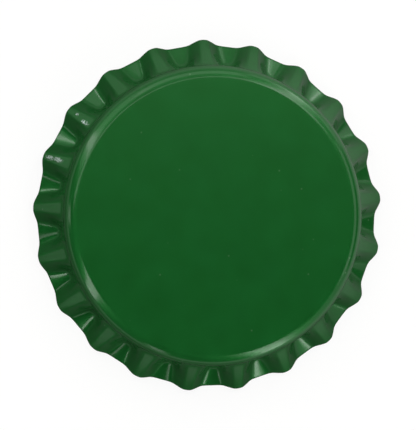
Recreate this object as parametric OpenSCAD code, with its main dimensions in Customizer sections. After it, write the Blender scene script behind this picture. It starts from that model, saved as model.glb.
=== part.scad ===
// Crown cork: the pry-off cap of a glass bottle, pressed from one round blank of thin
// tinned steel, with a soft sealing liner moulded in under its panel.
// It stands on the edge of its skirt, panel up. The origin is the middle of the circle
// that it stands on, +Z points up through the panel, and one tooth points along +Y.
// All lengths are in millimetres and all angles in degrees.

/* [Panel and wall] */
// Height from the edge it stands on to the middle of the panel
cap_h = 6; // [5.7:0.05:6.4]
// Thickness of the steel sheet
sheet_t = 0.22; // [0.18:0.01:0.28]
// Diameter inside the plain wall, which slides over the bottle's mouth
mouth_d = 26.8; // [26.4:0.05:27]
// Height of the plain wall between the shoulder and the flutes
wall_h = 0.35; // [0.25:0.05:0.6]
// Outside radius of the shoulder that joins the panel to the wall
shoulder_r = 1.25; // [1:0.05:1.6]
// Radius of the panel's shallow dome
dome_r = 180; // [140:5:260]

/* [Flutes] */
// Number of teeth round the skirt
teeth = 21; // [15:1:27]
// Diameter over the tips of the teeth
tip_d = 32.1; // [31.8:0.05:32.6]
// Diameter over the edge at the bottom of the valleys
valley_d = 31.14; // [30.6:0.02:31.4]
// How far the tip of a tooth stands above the edge of a valley
tip_lift = 0.82; // [0.5:0.02:1.1]
// How much of one pitch a tooth takes up at the wall
wall_share = 0.93; // [0.85:0.01:0.96]
// How much of one pitch a tooth takes up at the edge
edge_share = 0.6; // [0.5:0.02:0.8]
// How much of a tooth's breadth its crest takes up
crest_share = 0.26; // [0:0.01:0.5]
// Softness of the folds beside a crest, down to where the valleys flare
crest_bend = 0.08; // [0.04:0.01:0.3]
// Softness of the folds beside a crest at its tip
tip_bend = 0.15; // [0.1:0.05:0.6]
// How far down the skirt a crest goes straight before it turns out
tooth_from = 0.06; // [0.02:0.01:0.2]
// Softness of that turn
tooth_bend = 0.05; // [0.03:0.01:0.2]
// How far down the skirt a valley goes straight before it flares
flare_from = 0.58; // [0.4:0.02:0.7]
// Softness of the bend into the flare of a valley
valley_bend = 0.08; // [0.04:0.01:0.3]

/* [Liner] */
// Gap between the liner and the steel that it is moulded against
liner_gap = 0.02; // [0.01:0.01:0.05]
// Thickness of the liner's thin middle
film_t = 0.25; // [0.15:0.05:0.4]
// How far the liner's rim stays inside the plain wall
rim_in = 0.55; // [0.45:0.05:0.8]
// Distance from the liner's rim to the middle of the outer sealing bead
outer_bead_in = 0.4; // [0.3:0.05:0.6]
// Distance between the middles of the two sealing beads
bead_spacing = 1.95; // [1.6:0.05:2.4]
// Height of the flat land that seals on the bottle's lip, above the end of the shoulder
land_rise = 0.35; // [0.3:0.05:0.5]
// Radius of each bead's round section
bead_r = 0.42; // [0.3:0.02:0.5]
// How far each bead stands out of the land
bead_h = 0.2; // [0.1:0.05:0.25]

/* [Hidden] */

steel_colour = "#1B5E2B";
liner_colour = "#D9DDD8";

// Fineness of the round shapes
turn_fn = 240;
bead_fn = 64;
dome_steps = 8;
shoulder_steps = 12;

// Outside radius of the plain wall
wall_r = mouth_d / 2 + sheet_t;

// Middle of the dome's arc and of the shoulder's arc, and the angle off the axis at which
// the one runs into the other
dome_z = cap_h - dome_r;
shoulder_x = wall_r - shoulder_r;
shoulder_a = asin(shoulder_x / (dome_r - shoulder_r));
shoulder_z = dome_z + (dome_r - shoulder_r) * cos(shoulder_a);

// Height of the line where the plain wall ends and the flutes start
skirt_h = shoulder_z - wall_h;

// Places of the columns of the skirt's skin: 0 is a tooth's crest, 1 is its foot, 2 is the
// middle of the valley beyond it, and places before a crest are below 0
flank_places = [0.2, 0.38, 0.68, 1];
column_places = concat([0], flank_places, [2], [for (i = [3:-1:0]) -flank_places[i]]);
columns = teeth * len(column_places);
pitch = 360 / teeth;
first_tooth = 90;

// Rows down from the wall to the edge, which lie closer together near the wall
skirt_rows = 8;
row_crowding = 1.15;

// The skirt reaches a little way up inside the wall, and is thinner there by a hair on each
// side, so that the two join into one solid
lap_h = wall_h / 3;
lap_inset = 0.03;

// Step over which the skin's slopes are measured, as a share of the skirt's height
slope_step = 0.01;

// ---- the round top of the shell: a dome, a shoulder and a wall ----

// Points down the cap's outer skin, moved inwards by inset, from the middle of the panel
// to the top of the plain wall
function top_arc(inset) = concat(
    [
        for (i = [0:dome_steps])
            let (a = shoulder_a * i / dome_steps)
            [0, dome_z] + (dome_r - inset) * [sin(a), cos(a)]
    ],
    [
        for (i = [1:shoulder_steps])
            let (a = shoulder_a + (90 - shoulder_a) * i / shoulder_steps)
            [shoulder_x, shoulder_z] + (shoulder_r - inset) * [sin(a), cos(a)]
    ]
);

function reversed(list) = [for (i = [len(list) - 1:-1:0]) list[i]];

// Everything under the cap's outer skin, moved inwards by inset, down to z = low
module under_skin(inset, low) {
    polygon(concat(top_arc(inset), [[wall_r - inset, low], [0, low]]));
}

// Panel, shoulder and plain wall, turned in one piece
module shell_top() {
    wall_end = [[wall_r, skirt_h], [wall_r - sheet_t, skirt_h]];
    rotate_extrude($fn = turn_fn)
        polygon(concat(top_arc(0), wall_end, reversed(top_arc(sheet_t))));
}

// ---- the fluted skirt ----

// Share of the way that a line has covered at x, from 0 at x = 0 to 1 at x = 1, where it
// starts level and turns off at the given place, with a bend of the given softness
function hinge(x, at, bend) = x - at + sqrt(pow(x - at, 2) + bend * bend);
function bent(x, at, bend) =
    let (start = hinge(0, at, bend))
    (hinge(x, at, bend) - start) / (hinge(1, at, bend) - start);

// How far out a valley has come at depth u, which is 0 at the wall and 1 at the edge
function valley_flare(u) = bent(u, flare_from, valley_bend);

// Height of a tooth's section at depth u: 1 on its crest, falling to 0 at its foot
function tooth(u, place) =
    let (bend = crest_bend + (tip_bend - crest_bend) * valley_flare(u))
    1 - bent(min(abs(place), 1), crest_share, bend);

// Angle from a tooth's crest to one of its columns at depth u
function column_angle(u, place) =
    let (foot = wall_share + (edge_share - wall_share) * valley_flare(u))
    let (off = foot * min(abs(place), 1) + (1 - foot) * max(abs(place) - 1, 0))
    sign(place) * off * pitch / 2;

// Point of the outer skin at depth u in a column of the tooth whose crest is at angle crest
function outer_point(u, place, crest) =
    let (crest_r = wall_r + (tip_d / 2 - wall_r) * bent(u, tooth_from, tooth_bend))
    let (floor_r = wall_r + (valley_d / 2 - wall_r) * valley_flare(u))
    let (r = floor_r + (crest_r - floor_r) * tooth(u, place))
    let (z = skirt_h - (skirt_h - tip_lift * tooth(u, place)) * u)
    ring_point(r, z, crest + column_angle(u, place));

// Direction straight out of the skin, from its slopes across and down
function outward(u, place, crest) =
    let (step = slope_step)
    let (across = outer_point(u, place + step, crest) - outer_point(u, place - step, crest))
    let (down = outer_point(u + step, place, crest) - outer_point(u - step, place, crest))
    let (out = cross(down, across))
    out / norm(out);

// Point of the inner skin: one sheet away, and level with its outer point
function inner_point(u, place, crest) =
    let (out = outward(u, place, crest))
    let (level = [out.x, out.y, 0])
    outer_point(u, place, crest) - sheet_t * level / (level * level);

function ring_point(r, z, a) = [r * cos(a), r * sin(a), z];

// Depth of row i
function row_depth(i) = pow(i / skirt_rows, row_crowding);

// One column of the skirt: down the outer skin, then up the inner skin
function column(place, crest) =
    let (top = crest + column_angle(0, place))
    concat(
        [
            ring_point(wall_r - lap_inset, skirt_h + lap_h, top),
            ring_point(wall_r - lap_inset, skirt_h - lap_inset, top)
        ],
        [for (i = [1:skirt_rows]) outer_point(row_depth(i), place, crest)],
        [for (i = [skirt_rows:-1:1]) inner_point(row_depth(i), place, crest)],
        [
            ring_point(mouth_d / 2 + lap_inset, skirt_h - lap_inset, top),
            ring_point(mouth_d / 2 + lap_inset, skirt_h + lap_h, top)
        ]
    );

module shell_skirt() {
    points = [
        for (t = [0:teeth - 1], k = [0:len(column_places) - 1])
            let (place = column_places[k], crest = first_tooth + pitch * (place < 0 ? t + 1 : t))
            each column(place, crest)
    ];
    loop = len(points) / columns;
    faces = [
        for (c = [0:columns - 1], i = [0:loop - 1])
            let (here = c * loop, next = ((c + 1) % columns) * loop, j = (i + 1) % loop)
            each [
                [here + i, next + i, here + j],
                [here + j, next + i, next + j]
            ]
    ];
    polyhedron(points = points, faces = faces);
}

module shell() {
    color(steel_colour) union() {
        shell_top();
        shell_skirt();
    }
}

// ---- the sealing liner ----

// A thin film under the panel, and round it a flat land between two beads
module liner() {
    seat = sheet_t + liner_gap;
    land_z = shoulder_z + land_rise;
    rim_r = mouth_d / 2 - rim_in;
    outer_bead_r = rim_r - outer_bead_in;
    inner_bead_r = outer_bead_r - bead_spacing;
    color(liner_colour) rotate_extrude($fn = turn_fn) intersection() {
        under_skin(seat, 0);
        union() {
            difference() {
                square([inner_bead_r, cap_h]);
                under_skin(seat + film_t, -1);
            }
            translate([inner_bead_r, land_z]) square([rim_r - inner_bead_r, cap_h]);
            for (r = [inner_bead_r, outer_bead_r])
                translate([r, land_z + bead_r - bead_h]) circle(r = bead_r, $fn = bead_fn);
        }
    }
}

shell();
liner();
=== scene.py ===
import math

import bmesh
import bpy
from mathutils import Matrix, Vector


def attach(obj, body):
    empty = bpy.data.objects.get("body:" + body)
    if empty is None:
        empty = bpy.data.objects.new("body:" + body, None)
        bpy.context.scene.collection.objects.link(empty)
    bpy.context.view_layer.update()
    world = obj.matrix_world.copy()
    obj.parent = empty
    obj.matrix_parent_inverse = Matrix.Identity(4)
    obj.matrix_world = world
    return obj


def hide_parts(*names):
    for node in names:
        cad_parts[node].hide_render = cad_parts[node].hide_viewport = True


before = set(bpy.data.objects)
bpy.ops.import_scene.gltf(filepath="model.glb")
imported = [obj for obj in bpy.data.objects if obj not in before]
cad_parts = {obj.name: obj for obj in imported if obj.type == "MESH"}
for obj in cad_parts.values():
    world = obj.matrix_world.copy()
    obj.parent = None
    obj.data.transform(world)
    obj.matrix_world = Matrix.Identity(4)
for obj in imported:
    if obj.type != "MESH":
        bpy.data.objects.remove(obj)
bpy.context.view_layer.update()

# The camera stands almost straight above the cap and a little to its left, 0.4 m away, and
# aims just beside its middle. The frame is 416 x 430, and its long side takes in 39 mm.
camera_tilt = math.radians(8)
camera_side = math.radians(178.4)
picture_up = math.radians(88.4)
camera_distance = 0.4
picture_long_side = 0.03934
aim_right = 0.000137
aim_up = 0.000046
sensor_width = 36

looking_from = Vector(
    (
        math.sin(camera_tilt) * math.cos(camera_side),
        math.sin(camera_tilt) * math.sin(camera_side),
        math.cos(camera_tilt),
    )
)
up = Vector((math.cos(picture_up), math.sin(picture_up), 0))
right = up.cross(looking_from).normalized()
up = looking_from.cross(right)
turn = Matrix((right, up, looking_from)).transposed()
aim = right * aim_right + up * aim_up

camera_data = bpy.data.cameras.new("camera")
camera_data.sensor_width = sensor_width
camera_data.lens = sensor_width * camera_distance / picture_long_side
camera_data.clip_start, camera_data.clip_end = 0.05, 20
camera = bpy.data.objects.new("camera", camera_data)
stand = Matrix.Translation(aim + looking_from * camera_distance)
camera.matrix_world = stand @ turn.to_4x4()
bpy.context.scene.collection.objects.link(camera)
bpy.context.scene.camera = camera

# The shell is one round blank of tinplate, 0.22 mm thick, that is lacquered on both sides
# while it is flat. One stroke of the press draws its domed panel, its shoulder and a short
# plain wall, and pleats the rest into 21 flutes that flare out to a cut edge.
# The sizes here and in the liner's section are in millimetres.
MM = 0.001
sheet_t = 0.22
cap_h = 5.999
wall_r = 13.62
wall_h = 0.35
shoulder_r = 1.25
dome_r = 180.0

# the flutes' radii over the tips and at the edge of the valleys, how high the outer skin
# ends over the table in a valley, and how far a tip stands above that
teeth = 21
tip_r = 16.065
valley_r = 15.57
edge_up = 0.175
tip_lift = 0.82

# how much of a pitch a tooth takes up at the wall and at the edge, and how much of that its
# crest takes up
wall_share = 0.78
edge_share = 0.6
crest_share = 0.26

# softness of the folds beside a crest, down the skirt and at the tip
crest_bend = 0.05
tip_bend = 0.15

# how far down the skirt a crest and a valley turn outwards, and how softly
tooth_from = 0.06
tooth_bend = 0.05
flare_from = 0.63
valley_bend = 0.05

# fineness of the pleated skin, and the places of a tooth's columns from its middle
# outwards: 0 is the crest, 1 is the foot, and 2 is the middle of the valley
skirt_rows = 13
columns_a_tooth = 14
column_places = (0, 0.18, 0.25, 0.33, 0.5, 0.75, 1, 2)

columns = teeth * columns_a_tooth
shoulder_x = wall_r - shoulder_r
shoulder_a = math.asin(shoulder_x / (dome_r - shoulder_r))
shoulder_z = cap_h - dome_r + (dome_r - shoulder_r) * math.cos(shoulder_a)
skirt_h = shoulder_z - wall_h


def select_points(piece, chosen):
    """In edit mode, selects the points of the piece for which chosen(point) is true."""
    mesh = bmesh.from_edit_mesh(piece.data)
    for v in mesh.verts:
        v.select = bool(chosen(v.co))
    mesh.select_flush_mode()
    bmesh.update_edit_mesh(piece.data)


def start_ring(name, radius, height, sides):
    """A round of edges at that height, in edit mode and selected."""
    bpy.ops.object.select_all(action="DESELECT")
    bpy.ops.mesh.primitive_circle_add(
        vertices=sides, radius=radius * MM, fill_type="NOTHING", enter_editmode=True
    )
    piece = bpy.context.object
    piece.name = piece.data.name = name
    bpy.ops.mesh.select_mode(type="VERT")
    bpy.ops.mesh.select_all(action="SELECT")
    bpy.ops.transform.translate(value=(0, 0, height * MM))
    return piece


def close_middle(rings, sides):
    """Fills the selected round of edges and insets the face ring by ring, from the first
    (radius, height) to the last, which is its middle point."""
    bpy.ops.mesh.edge_face_add()
    bpy.ops.mesh.select_mode(type="FACE")
    for (r0, z0), (r1, z1) in zip(rings, rings[1:-1]):
        bpy.ops.mesh.inset(thickness=(r0 - r1) * MM * math.cos(math.pi / sides))
        bpy.ops.transform.translate(value=(0, 0, (z1 - z0) * MM))
    bpy.ops.mesh.poke(offset=(rings[-1][1] - rings[-2][1]) * MM)
    bpy.ops.mesh.select_mode(type="VERT")


def draw_rings(rings):
    """Extrudes the selected open ring of edges through the (radius, height) pairs, of which
    the first is where it is now."""
    for (r0, z0), (r1, z1) in zip(rings, rings[1:]):
        rise = (0, 0, (z1 - z0) * MM)
        bpy.ops.mesh.extrude_region_move(TRANSFORM_OT_translate={"value": rise})
        bpy.ops.transform.resize(value=(r1 / r0, r1 / r0, 1), center_override=(0, 0, 0))


def dome(radius, inset=0.0):
    """Height of the domed panel at that radius, or of a skin that lies inset under it."""
    return cap_h - dome_r + math.sqrt((dome_r - inset) ** 2 - radius**2)


def shoulder(angle, inset=0.0):
    """Radius and height of the shoulder at that angle off the axis, or of a skin that lies
    inset under it."""
    return (
        shoulder_x + (shoulder_r - inset) * math.sin(angle),
        shoulder_z + (shoulder_r - inset) * math.cos(angle),
    )


def bent(x, at, bend):
    """Share of the way that a line has covered at x, from 0 at x = 0 to 1 at x = 1. It
    starts level and turns off at the given place, with a bend of the given softness."""

    def hinge(x):
        return x - at + math.sqrt((x - at) ** 2 + bend**2)

    return (hinge(x) - hinge(0)) / (hinge(1) - hinge(0))


def flute(u, place):
    """Radius, height and distance from the tooth's middle, as a share of half a pitch, of
    the outer skin in one column. The depth u is 0 at the wall and 1 at the edge."""
    valley_flare = bent(u, flare_from, valley_bend)
    foot = wall_share + (edge_share - wall_share) * valley_flare
    off = foot * min(place, 1) + (1 - foot) * max(place - 1, 0)
    bend = crest_bend + (tip_bend - crest_bend) * valley_flare
    tooth = 1 - bent(min(place, 1), crest_share, bend)
    crest_r = wall_r + (tip_r - wall_r) * bent(u, tooth_from, tooth_bend)
    floor_r = wall_r + (valley_r - wall_r) * valley_flare
    r = floor_r + (crest_r - floor_r) * tooth
    return r, skirt_h - (skirt_h - edge_up - tip_lift * tooth) * u, off


# the drawn blank: the panel from its first ring outwards, the shoulder, the wall, and a
# skirt that is still plain, but for a hair's taper that tells its rows apart
first_ring_r = 11.0
row_taper = 0.02
rim_of_panel = [(r, dome(r)) for r in (first_ring_r, 11.7, 12.1, shoulder_x)]
arc = [
    shoulder(math.radians(a))
    for a in (5.5, 8, 12, 18, 26, 35, 45, 55, 65, 75, 83, 90)
]
wall = [(wall_r, skirt_h + wall_h / 2)]
depths = [i / skirt_rows for i in range(skirt_rows + 1)]
plain = [(wall_r + row_taper * i, skirt_h * (1 - u)) for i, u in enumerate(depths)]
shell = start_ring("shell_pressed", *rim_of_panel[0], columns)
draw_rings(rim_of_panel + arc + wall + plain)

# the pleating stroke: each row of points is moved out, down and sideways, column by column,
# and the lower half of the wall slides round with the top row
bpy.ops.mesh.select_all(action="DESELECT")
blank = bmesh.from_edit_mesh(shell.data)
half = columns_a_tooth // 2
step = 2 * math.pi / columns
pleated_below = skirt_h + 0.6 * wall_h
groups = {}
for v in blank.verts:
    if v.co.z < pleated_below * MM:
        row = round((v.co.xy.length / MM - wall_r) / row_taper)
        past_tooth = round((math.atan2(v.co.y, v.co.x) - math.pi / 2) / step)
        k = (past_tooth + half) % columns_a_tooth - half
        groups.setdefault((row, k), []).append(v)
for (row, k), points in sorted(groups.items(), key=lambda item: item[0]):
    for v in points:
        v.select = True
    blank.select_flush_mode()
    r0, z0 = plain[row]
    r1, z1, off = flute(depths[row], column_places[abs(k)])
    bpy.ops.transform.resize(value=(r1 / r0, r1 / r0, 1), center_override=(0, 0, 0))
    bpy.ops.transform.translate(value=(0, 0, (z1 - z0) * MM))
    turn_by = math.copysign(off * half - abs(k), k) * step
    bpy.ops.transform.rotate(value=turn_by, orient_axis="Z", center_override=(0, 0, 0))
    for v in points:
        v.select = False
    blank.select_flush_mode()

merge_below = 0.001
bpy.ops.mesh.select_all(action="SELECT")
bpy.ops.mesh.remove_doubles(threshold=merge_below * MM)
bpy.ops.mesh.normals_make_consistent(inside=False)
bpy.ops.object.mode_set(mode="OBJECT")


def finish_with(piece, kind, **settings):
    """Adds a modifier with those settings and applies it."""
    bpy.context.view_layer.objects.active = piece
    modifier = piece.modifiers.new(kind.lower(), kind)
    for key, value in settings.items():
        setattr(modifier, key, value)
    bpy.ops.object.modifier_apply(modifier=modifier.name)


finish_with(shell, "SUBSURF", levels=1, render_levels=1)

# the middle of the panel, which comes after the smoothing because it needs none
bpy.ops.object.mode_set(mode="EDIT")
select_points(shell, lambda p: p.xy.length < (first_ring_r + 0.1) * MM)
panel = [(r, dome(r)) for r in (first_ring_r, 9.0, 6.6, 4.2, 2.2, 0.8, 0.0)]
close_middle(panel, 2 * columns)
bpy.ops.mesh.select_all(action="SELECT")
bpy.ops.mesh.normals_make_consistent(inside=False)
bpy.ops.object.mode_set(mode="OBJECT")


def linear(colour):
    """Linear RGBA of an sRGB hex colour."""
    values = [int(colour[i : i + 2], 16) / 255 for i in (1, 3, 5)]
    return [
        v / 12.92 if v <= 0.04045 else ((v + 0.055) / 1.055) ** 2.4
        for v in values
    ] + [1]


def node(tree, kind, links=None, **settings):
    """Adds a node. Each setting is a property of it or the value of an input, by its name
    or as input_1, and links feed inputs from other nodes' outputs."""
    made = tree.nodes.new(kind)
    for key, value in settings.items():
        if key in made.bl_rna.properties:
            setattr(made, key, value)
        elif key.startswith("input_"):
            made.inputs[int(key[6:])].default_value = value
        else:
            made.inputs[key.replace("_", " ")].default_value = value
    for key, output in (links or {}).items():
        tree.links.new(output, made.inputs[key])
    return made


def new_material(name):
    """A material with an empty node tree, and that tree."""
    made = bpy.data.materials.new(name)
    made.use_nodes = True
    made.node_tree.nodes.clear()
    return made, made.node_tree


def mottle(tree, size, low=0.0, high=1.0, detail=2.0, softness=0.2, at=None):
    """Drifts between two amounts in soft patches of that size in millimetres. A patch has
    its full amount where the noise is more than softness away from its middle, 0.5."""
    at = at or node(tree, "ShaderNodeTexCoord").outputs["Object"]
    waves = node(
        tree, "ShaderNodeTexNoise", {"Vector": at}, Scale=1 / (size * MM), Detail=detail
    )
    patches = node(
        tree,
        "ShaderNodeMapRange",
        {"Value": waves.outputs["Fac"]},
        From_Min=0.5 - softness,
        From_Max=0.5 + softness,
        To_Min=low,
        To_Max=high,
    )
    return patches.outputs["Result"]


def rubbed_spot(tree, azimuth, radius, along, across):
    """1 in the middle of a rubbed spot at that place on the skirt, and 0 outside it. Seen
    from above, it is along millimetres long outwards and across millimetres wide."""
    turn = math.radians(azimuth)
    middle = Vector((radius * math.cos(turn), radius * math.sin(turn), skirt_h / 2))
    at = node(tree, "ShaderNodeTexCoord").outputs["Object"]
    spot = node(
        tree,
        "ShaderNodeMapping",
        {"Vector": at},
        vector_type="TEXTURE",
        Location=middle * MM,
        Rotation=(0, 0, turn),
        Scale=(along / 2 * MM, across / 2 * MM, skirt_h * MM),
    )
    away = node(
        tree, "ShaderNodeVectorMath", {0: spot.outputs["Vector"]}, operation="LENGTH"
    )
    faded = node(
        tree,
        "ShaderNodeMapRange",
        {"Value": away.outputs["Value"]},
        From_Min=0.3,
        From_Max=1.3,
        To_Min=1,
        To_Max=0,
    )
    return faded.outputs["Result"]


# Green lacquer, rolled onto the flat tinplate and baked before the cap was pressed: a deep,
# even colour that the tin under it lights up a little where it shines, below a clear gloss
# that the roller's grain breaks up. It has a few pale specks of dust, and on two crests it
# is scuffed through to the bright tin.
roller_grain = 0.8
dust_spacing = 1.6
scuff_grain = 0.11
green_lacquer, tree = new_material("green_stoved_lacquer")
place = node(tree, "ShaderNodeTexCoord").outputs["Object"]
rolled_on = node(
    tree, "ShaderNodeTexNoise", {"Vector": place}, Scale=1 / (roller_grain * MM), Detail=1.0
)
lacquer_grain = node(
    tree,
    "ShaderNodeBump",
    {"Height": rolled_on.outputs["Fac"]},
    Strength=1.0,
    Distance=0.003 * MM,
)
green = node(
    tree,
    "ShaderNodeMix",
    {0: mottle(tree, 3.0)},
    data_type="RGBA",
    input_6=linear("#165B23"),
    input_7=linear("#185F27"),
)
dust = node(
    tree, "ShaderNodeTexVoronoi", {"Vector": place}, Scale=1 / (dust_spacing * MM)
)
speck = node(
    tree,
    "ShaderNodeMapRange",
    {"Value": dust.outputs["Distance"]},
    From_Min=0.02,
    From_Max=0.07,
    To_Min=0.16,
    To_Max=0,
)
dusty_green = node(
    tree,
    "ShaderNodeMix",
    {0: speck.outputs["Result"], 6: green.outputs[2]},
    data_type="RGBA",
    input_7=linear("#9DB59B"),
)
lacquer = node(
    tree,
    "ShaderNodeBsdfPrincipled",
    {
        "Base Color": dusty_green.outputs[2],
        "Roughness": mottle(tree, 1.7, 0.34, 0.44),
        "Normal": lacquer_grain.outputs["Normal"],
        "Coat Normal": lacquer_grain.outputs["Normal"],
    },
    Metallic=0.4,
    Specular_IOR_Level=0,
    Coat_Weight=1.0,
    Coat_IOR=1.36,
    Coat_Roughness=0.14,
)
bare_tin = node(
    tree,
    "ShaderNodeBsdfPrincipled",
    Base_Color=linear("#CFE0DA"),
    Metallic=1.0,
    Roughness=0.35,
)
rubbed = None
for azimuth, radius, along, across in (
    (158.7, 15.5, 0.75, 0.55),
    (158.5, 14.8, 0.95, 0.5),
    (141.3, 15.2, 0.35, 0.3),
    (142.3, 14.25, 0.8, 0.45),
):
    spot = rubbed_spot(tree, azimuth, radius, along, across)
    if rubbed:
        both = node(tree, "ShaderNodeMath", {0: rubbed, 1: spot}, operation="MAXIMUM")
        spot = both.outputs["Value"]
    rubbed = spot
scuffs = mottle(tree, scuff_grain, detail=3.0, softness=0.12)
broken = node(tree, "ShaderNodeMath", {0: rubbed, 1: scuffs}, operation="MULTIPLY")
worn_through = node(
    tree,
    "ShaderNodeMapRange",
    {"Value": broken.outputs["Value"]},
    From_Min=0.2,
    From_Max=0.6,
    To_Min=0,
    To_Max=0.9,
)
worn = node(
    tree,
    "ShaderNodeMixShader",
    {
        0: worn_through.outputs["Result"],
        1: lacquer.outputs["BSDF"],
        2: bare_tin.outputs["BSDF"],
    },
)
node(tree, "ShaderNodeOutputMaterial", {"Surface": worn.outputs["Shader"]})

# Tinplate under a clear lacquer, which is what the bottle sees: a bright metal with a faint
# warm tint, and the fine straight lines of the rolling mill, drawn wider than they are so
# that they show.
line_width = 0.12
inside_lacquer, tree = new_material("clear_lacquered_tinplate")
place = node(tree, "ShaderNodeTexCoord").outputs["Object"]
rolled = node(tree, "ShaderNodeMapping", {"Vector": place}, Scale=(1, 0.04, 1))
lined_tin = node(
    tree,
    "ShaderNodeMix",
    {0: mottle(tree, line_width, at=rolled.outputs["Vector"])},
    data_type="RGBA",
    input_6=linear("#BDB6A4"),
    input_7=linear("#D2CBBA"),
)
tinplate = node(
    tree,
    "ShaderNodeBsdfPrincipled",
    {
        "Base Color": lined_tin.outputs[2],
        "Roughness": mottle(tree, 1.2, 0.27, 0.4),
    },
    Metallic=1.0,
    Coat_Weight=0.6,
    Coat_Roughness=0.12,
)
node(tree, "ShaderNodeOutputMaterial", {"Surface": tinplate.outputs["BSDF"]})

# The cut edge of the sheet, as the shearing die leaves it: bare steel, burnished where the
# blade slid and matt where the metal tore, and greyed since by the air.
tear_grain = 0.1
cut_steel, tree = new_material("sheared_steel_edge")
torn = mottle(tree, tear_grain, detail=3.0, softness=0.1)
torn_tone = node(
    tree,
    "ShaderNodeMix",
    {0: torn},
    data_type="RGBA",
    input_6=linear("#7F807F"),
    input_7=linear("#5C5B58"),
)
torn_roughness = node(
    tree, "ShaderNodeMapRange", {"Value": torn}, To_Min=0.28, To_Max=0.55
)
steel = node(
    tree,
    "ShaderNodeBsdfPrincipled",
    {"Base Color": torn_tone.outputs[2], "Roughness": torn_roughness.outputs["Result"]},
    Metallic=1.0,
)
node(tree, "ShaderNodeOutputMaterial", {"Surface": steel.outputs["BSDF"]})

# the sheet's thickness, with the tinplate on its inside and steel along the edge, whose two
# corners are then rounded a little
edge_round = 0.04
crease_above = math.radians(50)
smooth_below = math.radians(40)
for material in (green_lacquer, inside_lacquer, cut_steel):
    shell.data.materials.append(material)
finish_with(
    shell,
    "SOLIDIFY",
    thickness=sheet_t * MM,
    offset=-1,
    use_even_offset=True,
    material_offset=1,
    material_offset_rim=2,
)
finish_with(
    shell,
    "BEVEL",
    width=edge_round * MM,
    segments=2,
    limit_method="ANGLE",
    angle_limit=crease_above,
)
bpy.ops.object.select_all(action="DESELECT")
shell.select_set(True)
bpy.ops.object.shade_smooth_by_angle(angle=smooth_below)
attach(shell, "root")
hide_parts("shell")

# The liner is a pellet of soft plastic that is pressed out hot under the panel, where it
# sticks to the lacquer: a thin film in the middle, and round it a flat land between two
# beads. Depths count from the panel's outer skin, and heights from the table.
liner_seat = 0.24
film_t = 0.25
film_r = 9.2
seat_r = 10.5
inner_bead_r = 10.45
outer_bead_r = 12.4
bead_r = 0.42
land_z = shoulder_z + 0.35
bead_z = land_z + 0.22
rim_r = 12.8
rim_low, rim_high = 4.79, 5.15
rim_ease = 0.03
land_ease = 0.003
liner_sides = 168


def bead(middle, first, last, steps):
    """Points round a bead's section between two angles, which count from straight down."""
    angles = [math.radians(first + (last - first) * i / steps) for i in range(steps + 1)]
    return [(middle + bead_r * math.sin(a), bead_z - bead_r * math.cos(a)) for a in angles]


# the section, first on the bottle's side from the film out to the rim, then back on the
# panel's side
under = (
    [(r, dome(r, liner_seat + film_t)) for r in (film_r, 9.7, 10.0, 10.1)]
    + [(10.14, rim_high + rim_ease)]
    + bead(inner_bead_r, -112, 56, 16)
    + [(10.83, land_z + land_ease), (10.9, land_z)]
    + [(11.95, land_z), (12.02, land_z + land_ease)]
    + bead(outer_bead_r, -56, 66, 12)
    + [(rim_r - 0.005, rim_low - rim_ease), (rim_r, rim_low)]
    + [(rim_r, rim_high), (rim_r - 0.02, rim_high + rim_ease)]
)
over = [shoulder(math.radians(a), liner_seat) for a in (27, 20, 12, 6)]
over += [(r, dome(r, liner_seat)) for r in (12.2, seat_r)]
liner = start_ring("liner_moulded", *under[0], liner_sides)
draw_rings(under + over)
seat = [(r, dome(r, liner_seat)) for r in (seat_r, 8.0, 5.0, 2.0, 0.7, 0.0)]
close_middle(seat, liner_sides)
select_points(liner, lambda p: abs(p.xy.length - film_r * MM) < 0.01 * MM)
film = [(r, dome(r, liner_seat + film_t)) for r in (film_r, 7.0, 4.5, 2.0, 0.7, 0.0)]
close_middle(film, liner_sides)
bpy.ops.mesh.select_all(action="SELECT")
bpy.ops.mesh.remove_doubles(threshold=merge_below * MM)
bpy.ops.mesh.normals_make_consistent(inside=False)
bpy.ops.object.mode_set(mode="OBJECT")
bpy.ops.object.shade_smooth_by_angle(angle=smooth_below)

# Soft sealing plastic, moulded hot against a polished punch: a cloudy pale grey with a dull
# shine, and faint waves where the pellet flowed outwards.
flow_wave = 0.9
liner_plastic, tree = new_material("moulded_sealing_compound")
place = node(tree, "ShaderNodeTexCoord").outputs["Object"]
waves = node(
    tree, "ShaderNodeTexNoise", {"Vector": place}, Scale=1 / (flow_wave * MM), Detail=2.0
)
flow = node(
    tree,
    "ShaderNodeBump",
    {"Height": waves.outputs["Fac"]},
    Strength=1.0,
    Distance=0.01 * MM,
)
cloudy_grey = node(
    tree,
    "ShaderNodeMix",
    {0: mottle(tree, 2.5)},
    data_type="RGBA",
    input_6=linear("#D3D8D2"),
    input_7=linear("#DFE2DD"),
)
plastic = node(
    tree,
    "ShaderNodeBsdfPrincipled",
    {
        "Base Color": cloudy_grey.outputs[2],
        "Roughness": mottle(tree, 0.6, 0.38, 0.5),
        "Normal": flow.outputs["Normal"],
    },
    Subsurface_Weight=0.15,
    Subsurface_Radius=(0.4, 0.4, 0.4),
    Subsurface_Scale=1 * MM,
)
node(tree, "ShaderNodeOutputMaterial", {"Surface": plastic.outputs["BSDF"]})
liner.data.materials.append(liner_plastic)
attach(liner, "root")
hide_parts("liner")

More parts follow.
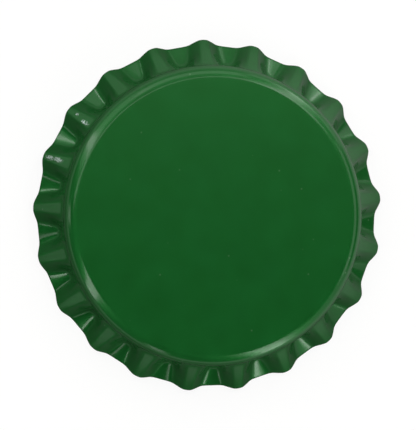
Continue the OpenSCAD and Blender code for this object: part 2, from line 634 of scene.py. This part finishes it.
# The cap stands on a sheet of paper. The paper's own tone is a plain grey, so that it
# throws little light back up under the flutes. To the camera it is lifted to white. In what
# the lacquer mirrors it is lifted less, and not at all inside a painted shadow: a fixed
# round zone about a point a little to -x and -y of the cap's middle, which stays grey in
# mirrors whatever the lamps do. Lengths are in millimetres, and the sheet's size is in
# metres.
paper_size = 6
paper_lift = 0.88
mirrored_lift = 0.62
painted_shadow_middle = (-6, -4, 0)
painted_shadow_from = 18
painted_shadow_to = 34
bpy.ops.object.select_all(action="DESELECT")
bpy.ops.mesh.primitive_plane_add(size=paper_size)
floor = bpy.context.object
floor.name = "floor"
paper, tree = new_material("white_paper")
path = node(tree, "ShaderNodeLightPath")
place = node(tree, "ShaderNodeTexCoord").outputs["Object"]
away = node(
    tree,
    "ShaderNodeVectorMath",
    {0: place},
    operation="DISTANCE",
    input_1=[c * MM for c in painted_shadow_middle],
)
# painted shadow in what the lacquer mirrors: the lift grows with the distance from a fixed
# point beside the cap, not with where the cap blocks the lamps
past_painted_shadow = node(
    tree,
    "ShaderNodeMapRange",
    {"Value": away.outputs["Value"]},
    interpolation_type="SMOOTHSTEP",
    From_Min=painted_shadow_from * MM,
    From_Max=painted_shadow_to * MM,
    To_Max=mirrored_lift,
)
mirrored = node(
    tree,
    "ShaderNodeMath",
    {0: path.outputs["Is Glossy Ray"], 1: path.outputs["Is Transmission Ray"]},
    operation="MAXIMUM",
)
in_mirror = node(
    tree,
    "ShaderNodeMath",
    {0: mirrored.outputs["Value"], 1: past_painted_shadow.outputs["Result"]},
    operation="MULTIPLY",
)
seen = node(
    tree,
    "ShaderNodeMath",
    {0: path.outputs["Is Camera Ray"], 2: in_mirror.outputs["Value"]},
    operation="MULTIPLY_ADD",
    input_1=paper_lift,
)
own_tone = node(tree, "ShaderNodeBsdfDiffuse", Color=linear("#666664"))
lift = node(tree, "ShaderNodeEmission", {"Strength": seen.outputs["Value"]})
lifted = node(
    tree, "ShaderNodeAddShader", {0: own_tone.outputs["BSDF"], 1: lift.outputs["Emission"]}
)
node(tree, "ShaderNodeOutputMaterial", {"Surface": lifted.outputs["Shader"]})
floor.data.materials.append(paper)

# Soft boxes all round, at arm's length: narrow upright ones for the lines of light on the
# shoulder and in the flutes, and broad weak ones that fill in between them.
lamp_distance = 0.6


def soft_lamp(name, azimuth, elevation, wide, tall, radiance):
    """A flat lamp that faces the cap, with its sizes as angles seen from the cap."""
    data = bpy.data.lights.new(name, "AREA")
    data.shape = "RECTANGLE"
    data.size = 2 * lamp_distance * math.tan(math.radians(wide / 2))
    data.size_y = 2 * lamp_distance * math.tan(math.radians(tall / 2))
    data.energy = radiance * math.pi * data.size * data.size_y
    lamp = bpy.data.objects.new(name, data)
    a, e = math.radians(azimuth), math.radians(elevation)
    out = Vector((math.cos(a) * math.cos(e), math.sin(a) * math.cos(e), math.sin(e)))
    facing = out.to_track_quat("Z", "Y").to_matrix().to_4x4()
    lamp.matrix_world = Matrix.Translation(out * lamp_distance) @ facing
    lamp.visible_camera = False
    bpy.context.scene.collection.objects.link(lamp)


# name, azimuth, elevation, width and height in degrees, and radiance
for lamp_row in (
    ("lamp_upper_left", 143, 32, 7, 60, 4.5),
    ("lamp_upper_left_broad", 132, 32, 40, 40, 0.8),
    ("lamp_upper_right", 47, 34, 7, 60, 4.5),
    ("lamp_upper_right_broad", 47, 34, 18, 66, 1.2),
    ("lamp_upper_right_low", 45, 8, 44, 24, 1.0),
    ("lamp_overhead_strip", 100, 74, 80, 6, 2.4),
    ("lamp_top", 90, 32, 40, 26, 1.2),
    ("lamp_right", 0, 32, 40, 20, 1.3),
    ("lamp_lower_right", 300, 24, 10, 60, 5.5),
    ("lamp_lower_right_broad", 300, 24, 18, 56, 1.4),
    ("lamp_lower_right_wash", 315, 20, 50, 40, 0.6),
    ("lamp_lower_left", 214, 36, 8, 56, 6.0),
    ("lamp_left", 178, 14, 7, 22, 2.4),
    ("lamp_bottom", 252, 12, 7, 20, 2.4),
):
    soft_lamp(*lamp_row)

# The studio's walls: soft and bright towards the top of the frame, and dark on the other
# side, with a smooth change between two cosines of the angle from the brightest place.
bright_azimuth = math.radians(85)
bright_elevation = math.radians(20)
bright_wall = 0.6
dim_wall = 0.02
dim_until = 0.2
bright_from = 0.85
world = bpy.data.worlds.new("studio")
bpy.context.scene.world = world
world.use_nodes = True
world.node_tree.nodes.clear()
sky = world.node_tree
direction = node(sky, "ShaderNodeTexCoord")
towards = node(
    sky,
    "ShaderNodeVectorMath",
    {0: direction.outputs["Generated"]},
    operation="DOT_PRODUCT",
    input_1=(
        math.cos(bright_azimuth) * math.cos(bright_elevation),
        math.sin(bright_azimuth) * math.cos(bright_elevation),
        math.sin(bright_elevation),
    ),
)
brightness = node(
    sky,
    "ShaderNodeMapRange",
    {"Value": towards.outputs["Value"]},
    interpolation_type="SMOOTHSTEP",
    From_Min=dim_until,
    From_Max=bright_from,
    To_Min=dim_wall,
    To_Max=bright_wall,
)
air = node(sky, "ShaderNodeBackground", {"Strength": brightness.outputs["Result"]})
node(sky, "ShaderNodeOutputWorld", {"Surface": air.outputs["Background"]})

bpy.context.scene.view_settings.view_transform = "Standard"
